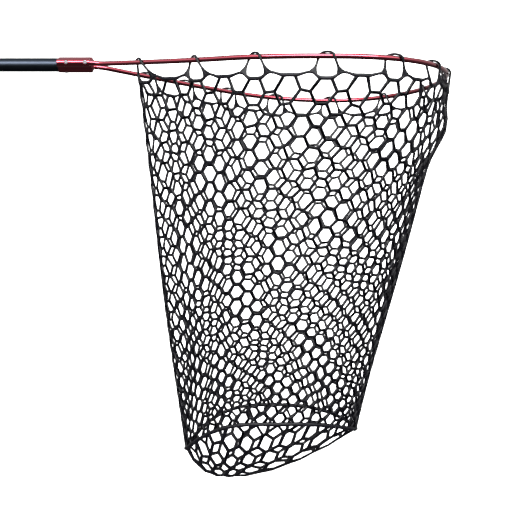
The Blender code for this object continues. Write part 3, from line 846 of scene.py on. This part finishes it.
def bottom_mesh():
    """The bottom panel: larger cells in a round sheet, hung from the seam.

    Points past the border are moved onto the circle of radius 1, which becomes the seam.
    """
    step = math.sqrt(3) * BOTTOM_CELL
    first = cell("bottom_mesh", BOTTOM_CELL, False)
    second = copied(first, "second_row", Matrix.Translation((step / 2, 1.5 * BOTTOM_CELL, 0)))
    pair = joined("bottom_mesh", [first, second])
    repeated(pair, BOTTOM_COLUMNS, (step, 0, 0))
    sheet = repeated(pair, BOTTOM_ROW_PAIRS, (0, 3 * BOTTOM_CELL, 0))
    sheet.data.transform(Matrix.Translation((-BOTTOM_MIDDLE[0] * step,
                                             -BOTTOM_MIDDLE[1] * BOTTOM_CELL, 0)))
    merged(sheet, CELL_WELD)
    sheet.data.transform(Matrix.Diagonal((1 / SEAM_HALF_LENGTH, 1 / SEAM_HALF_WIDTH, 1, 1)))
    pick(sheet)
    mode("EDIT")
    bpy.ops.mesh.select_all(action="DESELECT")
    edit = bmesh.from_edit_mesh(sheet.data)
    for face in edit.faces:
        if sum(corner.co.length < BOTTOM_BORDER for corner in face.verts) < 2:
            face.select_set(True)
    bmesh.update_edit_mesh(sheet.data)
    bpy.ops.mesh.delete(type="FACE")
    mode("OBJECT")
    flat = corners(sheet)
    out = np.maximum(np.hypot(flat[:, 0], flat[:, 1]), 1e-6)
    scale = np.where(out > BOTTOM_BORDER, 1 / out, 1)
    reshaped(sheet, bottom_point(flat[:, 0] * scale, flat[:, 1] * scale))
    merged(sheet, BORDER_WELD)
    strands_from_cells(sheet, lambda z: BOTTOM_STRAND, 1)
    rubber_part(sheet, "net_bottom")


def rim_cord():
    """The heavy cord along the bag's mouth, thicker in its valleys."""
    column = np.arange(0, COLUMNS, 1 / RIM_STEPS)
    route = bag_point(column + pulled(column), rim_row(column))
    swell = 1 - RIM_THINNING * np.sin(math.pi / 2 * slope(column))
    cord = drawn_tube("rim_cord", route, RIM_RADIUS, CORD_SIDES, True, swell)
    rubber_part(cord, "net_rim")


def seam_cord():
    """The thick seam between the bag's side and its bottom, a little lumpy."""
    distance = np.linspace(0, SEAM_LENGTH, SEAM_STEPS, endpoint=False)
    lumps = 1 + SEAM_LUMP * np.sin(TURN * SEAM_LUMPS * distance / SEAM_LENGTH)
    cord = drawn_tube("seam_cord", sampled(SEAM, distance), SEAM_CORD, CORD_SIDES, True, lumps)
    rubber_part(cord, "net_seam")


def hoop_frame(station):
    """Place on the hoop's centreline and the direction out from it."""
    place = Vector(sampled(MOUTH, np.array(station)))
    ahead = Vector(sampled(MOUTH, np.array(station + MM))) - place
    return place, ahead.normalized().cross(Vector((0, 0, 1))).normalized()


def rim_point(column):
    """A point of the rim cord's centreline."""
    return Vector(bag_point(np.array(column + pulled(column)), np.array(rim_row(column))))


def web_column(number, side):
    """Column of the web at one foot of a loop."""
    return LOOP_COLUMNS * number + side * (1 - WEB_PULL)


def loop_route(number):
    """A loop: up from one peak of the rim inside the hoop, over it and down to the next peak."""
    reach = HOOP_RADIUS + LOOP_CORD + GAP
    over = []
    for step in range(CREST_STEPS + 1):
        turn = math.pi * step / CREST_STEPS
        place, outward = hoop_frame(STATIONS[number] - LOOP_CREST * math.cos(turn))
        over.append(place - outward * reach * math.cos(turn)
                    + Vector((0, 0, reach * math.sin(turn))))
    feet = [rim_point(web_column(number, side)) for side in (-1, 1)]
    up = [feet[0].lerp(over[0], step / LEG_STEPS) for step in range(LEG_STEPS)]
    down = [over[-1].lerp(feet[1], step / LEG_STEPS) for step in range(1, LEG_STEPS + 1)]
    return up + over + down


def rim_loop(number):
    """One loop, a little thicker towards its feet."""
    route = loop_route(number)
    last = len(route) - 1
    swell = [1 + FOOT_SWELL * math.exp(-FOOT_SWELL_RATE * min(index, last - index))
             for index in range(last + 1)]
    return drawn_tube(f"rim_loop_{number}", route, LOOP_CORD, LOOP_SIDES, swell=swell)


def web_blank():
    """A flat web one unit wide and high, hollow at both sides, that narrows up into a cord."""
    deselect()
    bpy.ops.mesh.primitive_grid_add(x_subdivisions=4, y_subdivisions=8, size=1,
                                    location=(0, 0.5, 0))
    item = bpy.context.object
    bpy.ops.object.transform_apply(location=True, rotation=True, scale=True)
    item.name = "web_blank"
    points = corners(item)
    points[:, 0] *= WEB_NECK + (1 - WEB_NECK) * (1 - points[:, 1]) ** 2
    reshaped(item, points)
    applied(item, "SOLIDIFY", thickness=1, offset=0)
    applied(item, "BEVEL", width=WEB_EDGE, segments=2, limit_method="ANGLE")
    turned_outward(item)
    return item


def rim_webs():
    """The webs at the loops' feet, one blank copied to each."""
    web = web_blank()
    webs = []
    for number in range(LOOPS):
        route = loop_route(number)
        for side, above in ((-1, route[WEB_TOP_STEP]), (1, route[-1 - WEB_TOP_STEP])):
            column = web_column(number, side)
            foot = rim_point(column)
            along = (rim_point(column + 0.1) - rim_point(column - 0.1)).normalized()
            up = (above - foot).normalized()
            outward = along.cross(up).normalized()
            placed = Matrix((along * WEB_WIDTH, up * WEB_HEIGHT, outward * WEB_THICKNESS))
            place = Matrix.Translation(foot) @ placed.transposed().to_4x4()
            webs.append(copied(web, "web", place))
    bpy.data.objects.remove(web)
    return webs


def hoop_loops():
    item = joined("hoop_loops", [rim_loop(number) for number in range(LOOPS)])
    smooth(item, CORD_SMOOTH)
    rubber_part(item, "net_rim")


def peak_webs():
    item = joined("peak_webs", rim_webs())
    smooth(item, WEB_SMOOTH)
    rubber_part(item, "net_rim")


# Handle


TUBE_WALL = 1.2 * MM
INNER_EDGE = 0.2 * MM
OUTER_EDGE = 0.4 * MM
SLEEVE_BORE = 13 * MM
COLLAR_RADIUS = 16.5 * MM
COLLAR_LENGTH = 5 * MM
COLLAR_SLOPE = 1 * MM
COLLAR_EDGE = 1.2 * MM
THREAD_RADIUS = 15 * MM
CAP_REAR = -136 * MM
CAP_RADIUS = 15.5 * MM
CAP_FLOOR = -129.8 * MM
CAP_EDGE = 2 * MM
CAP_GROOVES = (6 * MM, 10 * MM, 14 * MM)
CAP_GROOVE_WIDTH = 1.6 * MM
CAP_GROOVE_DEPTH = 0.6 * MM
CAP_GROOVE_SIDE = 0.4 * MM
LUG_TIP = -156 * MM
LUG_HALF_HEIGHT = 7 * MM
LUG_THICKNESS = 5 * MM
LUG_EDGE = 0.7 * MM
LUG_ROOT = 2 * MM
RING_X = -147 * MM
RING_RADIUS = 13 * MM
RING_WIRE = 1.5 * MM
RING_STEPS = 72
RING_SIDES = 16
LUG_HOLE = 2.7 * MM
NUT_CREST = 18.5 * MM
NUT_BODY = 17.5 * MM
NUT_NOSE = 14 * MM
NUT_BORE = 15.4 * MM
NUT_MOUTH = 11.6 * MM
NUT_SHOULDER = 155.3 * MM
NUT_LIP = 167.9 * MM
NUT_REAR_STEP = 0.4 * MM
NUT_REAR_SLOPE = 4 * MM
NUT_NOSE_SLOPE = 6 * MM
NUT_EDGE = 1.2 * MM
NUT_RIBS = 12
RIB_WIDTH = 4.4 * MM
RIB_DEPTH = 2.8 * MM
RIB_EDGE = 1.3 * MM
RIB_REAR = 3 * MM
RIB_FRONT = 7.5 * MM
GRIP_BORE = 13.1 * MM
GRIP_EDGE = 2.5 * MM
GRIP_EDGE_STEPS = 6
GRIP_LENGTH_STEPS = 90
GRIP_GROOVE_PITCH = 30 * MM
GRIP_GROOVE_DEPTH = 1.2 * MM
GRIP_GROOVES_X = 30 * MM
GRIP_GROOVES_REACH = 45 * MM


def handle_tube(name, node, body):
    """A drawn tube with its mouths broken."""
    low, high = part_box(node)
    outer = (high.z - low.z) / 2
    inner = outer - TUBE_WALL
    tube = spun(name, rounded([
        (low.x, inner, INNER_EDGE), (low.x, outer, OUTER_EDGE), (high.x, outer, OUTER_EDGE),
        (high.x, inner, INNER_EDGE)]), BODY_STEPS)
    finished(tube, BLACK_ALUMINIUM, body, node)


def threaded_ferrule():
    """The sleeve on the rear tube's mouth, with its collar behind the twist nut."""
    low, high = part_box("lock_ferrule")
    step = low.x + COLLAR_LENGTH
    ferrule = spun("threaded_ferrule", rounded([
        (low.x, SLEEVE_BORE, INNER_EDGE), (low.x, COLLAR_RADIUS, COLLAR_EDGE),
        (step, COLLAR_RADIUS, 0.5 * MM), (step + COLLAR_SLOPE, THREAD_RADIUS, INNER_EDGE),
        (high.x, THREAD_RADIUS, OUTER_EDGE), (high.x, SLEEVE_BORE, INNER_EDGE)]), BODY_STEPS)
    finished(ferrule, BLACK_NYLON, "handle", "lock_ferrule")


def twist_nut():
    """The twist nut: a turned body with a tapered nose and twelve round-backed ribs."""
    low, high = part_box("lock_nut")
    nut = spun("twist_nut", rounded([
        (low.x, NUT_BORE, INNER_EDGE), (low.x, NUT_BODY - NUT_REAR_STEP, NUT_EDGE),
        (low.x + NUT_REAR_SLOPE, NUT_BODY, 0.3 * MM),
        (high.x - NUT_NOSE_SLOPE, NUT_BODY, 2 * MM),
        (high.x, NUT_NOSE, 1 * MM), (high.x, NUT_MOUTH, 0.3 * MM), (NUT_LIP, NUT_MOUTH, 0),
        (NUT_LIP, NUT_MOUTH + 1.6 * MM, 0), (NUT_SHOULDER, NUT_BORE - 0.6 * MM, 0),
        (NUT_SHOULDER, NUT_BORE, 0)]), BODY_STEPS)
    start, end = low.x + RIB_REAR, high.x - RIB_FRONT
    deselect()
    bpy.ops.mesh.primitive_cube_add(size=1, location=((start + end) / 2, 0,
                                                      NUT_CREST - RIB_DEPTH / 2),
                                    scale=(end - start, RIB_WIDTH, RIB_DEPTH))
    rib = bpy.context.object
    bpy.ops.object.transform_apply(location=True, rotation=True, scale=True)
    applied(rib, "BEVEL", width=RIB_EDGE, segments=4)
    ribs = [copied(rib, "rib", Matrix.Rotation(TURN * step / NUT_RIBS, 4, "X"))
            for step in range(NUT_RIBS)]
    bpy.data.objects.remove(rib)
    joined("twist_nut", [nut] + ribs)
    smooth(nut, MOULDED_SMOOTH)
    finished(nut, BLACK_NYLON, "lock_nut", "lock_nut")


def moulded_cap():
    """The end cap: a cup with three grip grooves, and a flat lug with a hole for the ring."""
    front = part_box("end_cap")[1].x
    outline = [(CAP_REAR, 0, 0), (CAP_REAR, CAP_RADIUS, CAP_EDGE)]
    for place in CAP_GROOVES:
        start = CAP_REAR + place
        end = start + CAP_GROOVE_WIDTH
        floor = CAP_RADIUS - CAP_GROOVE_DEPTH
        outline += [(start, CAP_RADIUS, INNER_EDGE), (start + CAP_GROOVE_SIDE, floor, 0),
                    (end - CAP_GROOVE_SIDE, floor, 0), (end, CAP_RADIUS, INNER_EDGE)]
    outline += [(front, CAP_RADIUS, 0.6 * MM), (front, SLEEVE_BORE, 0.3 * MM),
                (CAP_FLOOR, SLEEVE_BORE, 0), (CAP_FLOOR, 0, 0)]
    cup = spun("moulded_cap", rounded(outline), BODY_STEPS)
    root = CAP_REAR + LUG_ROOT
    tongue = arc(LUG_TIP + LUG_HALF_HEIGHT, LUG_HALF_HEIGHT, math.pi / 2, 1.5 * math.pi, 32)
    hole = arc(RING_X, LUG_HOLE, 0, TURN, 40)[:-1]
    lug = extruded("lug", [[(root, LUG_HALF_HEIGHT)] + tongue + [(root, -LUG_HALF_HEIGHT)], hole],
                   LUG_THICKNESS, LUG_EDGE)
    lug.data.transform(Matrix.Rotation(math.pi / 2, 4, "X"))
    joined("moulded_cap", [cup, lug])
    smooth(cup, MOULDED_SMOOTH)
    finished(cup, BLACK_NYLON, "handle", "end_cap")


def wire_ring():
    """The welded wire ring, hung in the lug's hole."""
    route = []
    for step in range(RING_STEPS):
        angle = TURN * step / RING_STEPS
        route.append((RING_X, RING_RADIUS * math.sin(angle), RING_RADIUS * (math.cos(angle) - 1)))
    ring = drawn_tube("wire_ring", route, RING_WIRE, RING_SIDES, True)
    finished(ring, RING_STEEL, "hang_ring", "hang_ring")


def foam_grip():
    """Foam grip with rounded ends and three shallow finger grooves."""
    low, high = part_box("grip_sleeve")
    radius = (high.z - low.z) / 2
    edge = arc(0, GRIP_EDGE, math.pi / 2, 0, GRIP_EDGE_STEPS)
    rise = [(GRIP_EDGE - down, radius - GRIP_EDGE + up) for up, down in edge]
    profile = [(low.x, GRIP_BORE)] + [(low.x + along, out) for along, out in rise]
    start, end = low.x + GRIP_EDGE, high.x - GRIP_EDGE
    for step in range(1, GRIP_LENGTH_STEPS):
        x = start + (end - start) * step / GRIP_LENGTH_STEPS
        depth = 0
        if abs(x - GRIP_GROOVES_X) < GRIP_GROOVES_REACH:
            turn = math.pi * (x - GRIP_GROOVES_X + GRIP_GROOVES_REACH) / GRIP_GROOVE_PITCH
            depth = GRIP_GROOVE_DEPTH * math.sin(turn) ** 2
        profile.append((x, radius - depth))
    profile += [(high.x - along, out) for along, out in rise[::-1]] + [(high.x, GRIP_BORE)]
    grip = spun("foam_grip", profile, GRIP_STEPS)
    finished(grip, FOAM, "handle", "grip_sleeve")


# Yoke


YOKE_CORNER = 0.4 * MM
BARREL_RADIUS = 12.5 * MM
BARREL_FLAT = 12.2 * MM
WEB_HALF_HEIGHT = 4.5 * MM
LOBE_RADIUS = 6.4 * MM
LOBE_STEPS = 40
BARREL_STEPS = 16
BORE_STEPS = 48
SEAT_STEPS = 40
FRONT_TUBE_BORE = 11.3 * MM
LEG_BORE = 4.3 * MM
SCREWS = ("leg_screw_near_1", "leg_screw_near_2", "leg_screw_far_1", "leg_screw_far_2")
SCREW_SEAT = 5.5 * MM
SCREW_SEAT_RADIUS = 3.4 * MM
SCREW_SEAT_DEPTH = 3 * MM
SCREW_HEIGHT = 7.3 * MM
SCREW_HEAD = 3 * MM
SCREW_EDGE = 0.7 * MM
SCREW_SHANK = 1.5 * MM
SOCKET_RADIUS = 2 * MM
SOCKET_DEPTH = 1.2 * MM
RIVET_SEAT = 12.5 * MM
RIVET_HEAD = 3 * MM
RIVET_DOME = 2.2 * MM
RIVET_DOME_STEPS = 8
PLUG_STEM_RADIUS = 11 * MM
PLUG_COLLAR = 0.5 * MM
PLUG_NOSE_RADIUS = 6.3 * MM


def yoke_outline():
    """Outline of the yoke's section: a barrel with flats, and a web and a lobe on each side."""
    flat = math.asin(BARREL_FLAT / BARREL_RADIUS)
    web = math.asin(WEB_HALF_HEIGHT / BARREL_RADIUS)
    lobe = math.pi - math.asin(WEB_HALF_HEIGHT / LOBE_RADIUS)
    barrel = [arc(0, BARREL_RADIUS, start, end, BARREL_STEPS) for start, end in (
        (web, flat), (math.pi - flat, math.pi - web), (math.pi + web, math.pi + flat),
        (-flat, -web))]
    return (arc(LEG_Y, LOBE_RADIUS, -lobe, lobe, LOBE_STEPS) + barrel[0] + barrel[1]
            + arc(-LEG_Y, LOBE_RADIUS, math.pi - lobe, math.pi + lobe, LOBE_STEPS)
            + barrel[2] + barrel[3])


def extruded_yoke():
    """The yoke, drawn as a section with its three bores and extruded, with screw seats."""
    low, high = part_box("yoke")
    bores = [(0, FRONT_TUBE_BORE), (LEG_Y, LEG_BORE), (-LEG_Y, LEG_BORE)]
    holes = [arc(y, radius, 0, TURN, BORE_STEPS)[:-1] for y, radius in bores]
    yoke = extruded("extruded_yoke", [yoke_outline()] + holes, high.x - low.x, YOKE_CORNER)
    # The section's X and Y become the yoke's Y and Z, and its depth the yoke's X
    yoke.data.transform(Matrix(((0, 0, 1, (low.x + high.x) / 2), (1, 0, 0, 0), (0, 1, 0, 0),
                                (0, 0, 0, 1))))
    for name in SCREWS:
        head_low, head_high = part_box(name)
        middle = (head_low + head_high) / 2
        side = -1 if middle.y < 0 else 1
        deselect()
        bpy.ops.mesh.primitive_cylinder_add(
            vertices=SEAT_STEPS, radius=SCREW_SEAT_RADIUS, depth=2 * SCREW_SEAT_DEPTH,
            location=(middle.x, side * (LEG_Y + SCREW_SEAT + SCREW_SEAT_DEPTH), 0),
            rotation=(math.pi / 2, 0, 0))
        drilled(yoke, bpy.context.object)
    smooth(yoke, TURNED_SMOOTH)
    finished(yoke, RED_ALUMINIUM, "net_head", "yoke")


def nose_plug():
    """The blunt red nose that closes the barrel."""
    low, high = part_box("barrel_plug")
    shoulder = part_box("yoke")[1].x + GAP
    plug = spun("nose_plug", rounded([
        (low.x, 0, 0), (low.x, PLUG_STEM_RADIUS, 0.5 * MM), (shoulder, PLUG_STEM_RADIUS, 0),
        (shoulder, BARREL_RADIUS, INNER_EDGE), (shoulder + PLUG_COLLAR, BARREL_RADIUS, OUTER_EDGE),
        (high.x, PLUG_NOSE_RADIUS, 0.7 * MM), (high.x, 0, 0)]), BODY_STEPS)
    finished(plug, RED_ALUMINIUM, "net_head", "barrel_plug")


def socket_screws():
    """The four cap screws of the hoop's legs, modelled once with a six-sided socket."""
    screw = spun("socket_screw", rounded([
        (0, 0, 0), (0, SCREW_SHANK, INNER_EDGE), (SCREW_SEAT, SCREW_SHANK, 0),
        (SCREW_SEAT, SCREW_HEAD, INNER_EDGE), (SCREW_HEIGHT, SCREW_HEAD, SCREW_EDGE),
        (SCREW_HEIGHT, 0, 0)]), SCREW_STEPS)
    deselect()
    bpy.ops.mesh.primitive_cylinder_add(vertices=6, radius=SOCKET_RADIUS, depth=2 * SOCKET_DEPTH,
                                        location=(SCREW_HEIGHT, 0, 0),
                                        rotation=(0, math.pi / 2, 0))
    drilled(screw, bpy.context.object)
    smooth(screw, TURNED_SMOOTH)
    for name in SCREWS:
        low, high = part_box(name)
        side = -1 if low.y < 0 else 1
        place = (Matrix.Translation(((low.x + high.x) / 2, side * LEG_Y, 0))
                 @ Matrix.Rotation(side * math.pi / 2, 4, "Z"))
        finished(copied(screw, "socket_" + name, place), SCREW_STEEL, "net_head",
                 name)
    bpy.data.objects.remove(screw)


def dome_rivet():
    """The low rivet under the barrel, with its head down."""
    low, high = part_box("handle_rivet")
    rivet = spun("dome_rivet", rounded([
        (-high.z, 0, 0), (-high.z, SCREW_SHANK, INNER_EDGE), (RIVET_SEAT, SCREW_SHANK, 0),
        (RIVET_SEAT, RIVET_HEAD, 0), (-low.z, RIVET_HEAD, RIVET_DOME), (-low.z, 0, 0)],
        RIVET_DOME_STEPS), SCREW_STEPS)
    rivet.data.transform(Matrix.Translation(((low.x + high.x) / 2, 0, 0))
                         @ Matrix.Rotation(math.pi / 2, 4, "Y"))
    finished(rivet, SCREW_STEEL, "net_head", "handle_rivet")


# Finishes of the CAD parts that stay


FINISHES = {"guide_bush": (WHITE_NYLON, "white_nylon"),
            "lock_collet": (WHITE_NYLON, "white_nylon")}


def finish_cad_parts():
    for name, (material, slot) in FINISHES.items():
        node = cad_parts[name]
        for place in node.material_slots:
            place.material = material


# Studio


# Room light by a ray's height or side, from -1 to 1
ROOM_HEIGHTS, ROOM_LEVELS = (-0.35, 0.35), (0.06, 0.5)
BAND = (("Z", 0.05, 0.4, 0.0, 1.0), ("Z", 0.5, 0.9, 1.0, 0.1), ("Y", -0.8, 0.35, 1.0, 0.0))
BAND_LEVEL = 2.6
FLOOR_SIZE = 24
FLOOR_PLACE = (0.6, 0, -1.25)
BACKDROP_HEIGHT = 14


def surround():
    """Room light: dim below, grey above, with a bright band over the camera's side."""
    world = bpy.data.worlds.new("studio")
    world.use_nodes = True
    tree = world.node_tree
    tree.nodes.clear()
    place = add(tree, "TexCoord")
    split = add(tree, "SeparateXYZ", Vector=(place, "Generated"))
    room = add(tree, "MapRange", Value=(split, "Z"), From_Min=ROOM_HEIGHTS[0],
               From_Max=ROOM_HEIGHTS[1], To_Min=ROOM_LEVELS[0], To_Max=ROOM_LEVELS[1])
    rise, fall, front = [
        add(tree, "MapRange", {"interpolation_type": "SMOOTHSTEP"}, Value=(split, axis),
            From_Min=start, From_Max=stop, To_Min=low, To_Max=high)
        for axis, start, stop, low, high in BAND]
    band = add(tree, "Math", {"operation": "MULTIPLY"}, First=(rise, 0), Second=(fall, 0))
    glow = add(tree, "Math", {"operation": "MULTIPLY"}, First=(band, 0), Second=(front, 0))
    level = add(tree, "Math", {"operation": "MULTIPLY_ADD"}, First=(glow, 0),
                Second=BAND_LEVEL, Third=(room, 0))
    light = add(tree, "Background", Color=(1, 1, 1, 1), Strength=(level, 0))
    add(tree, "OutputWorld", Surface=(light, 0))
    bpy.context.scene.world = world


def softbox(name, place, aim, width, height, power):
    light = bpy.data.lights.new(name, "AREA")
    light.shape = "RECTANGLE"
    light.size = width
    light.size_y = height
    light.energy = power
    lamp = bpy.data.objects.new(name, light)
    lamp.location = place
    lamp.rotation_euler = (Vector(aim) - Vector(place)).to_track_quat("-Z", "Y").to_euler()
    lamp.visible_camera = False
    bpy.context.scene.collection.objects.link(lamp)


def paper():
    """White seamless paper, lit evenly from behind so that it stays white."""
    material, tree = blank("white_seamless_paper")
    place = add(tree, "TexCoord")
    pulp = add(tree, "TexNoise", Vector=(place, "Object"), Scale=PAPER_PULP)
    spread = add(tree, "MapRange", Value=(pulp, 0), To_Min=0.8, To_Max=0.9)
    shader = add(tree, "BsdfPrincipled", Base_Color=linear("F4F4F4"), Roughness=(spread, 0),
                 Emission_Color=linear("FFFFFF"), Emission_Strength=1.0)
    add(tree, "OutputMaterial", Surface=(shader, 0))
    return material


def stage():
    """A floor that turns up into a backdrop far out on every side."""
    deselect()
    bpy.ops.mesh.primitive_plane_add(size=FLOOR_SIZE, location=FLOOR_PLACE)
    paper_roll = bpy.context.object
    paper_roll.name = "seamless_paper"
    bpy.ops.object.transform_apply(location=True, rotation=True, scale=True)
    mode("EDIT")
    bpy.ops.mesh.select_mode(type="EDGE")
    bpy.ops.mesh.select_all(action="SELECT")
    bpy.ops.mesh.extrude_edges_move(
        TRANSFORM_OT_translate={"value": (0, 0, BACKDROP_HEIGHT)})
    mode("OBJECT")
    paper_roll.data.materials.append(paper())
    paper_roll.visible_glossy = False


hoop_tube()
bag_mesh()
bottom_mesh()
rim_cord()
seam_cord()
hoop_loops()
peak_webs()
handle_tube("drawn_rear_tube", "rear_tube", "handle")
handle_tube("drawn_front_tube", "front_tube", "net_head")
foam_grip()
moulded_cap()
wire_ring()
threaded_ferrule()
twist_nut()
extruded_yoke()
nose_plug()
socket_screws()
dome_rivet()
finish_cad_parts()
surround()
softbox("overhead_softbox", place=(0.6, -2.5, 1.35), aim=(0.6, 0, -0.05), width=5.0, height=1.0,
        power=190)
stage()
bpy.context.scene.view_settings.view_transform = "Standard"
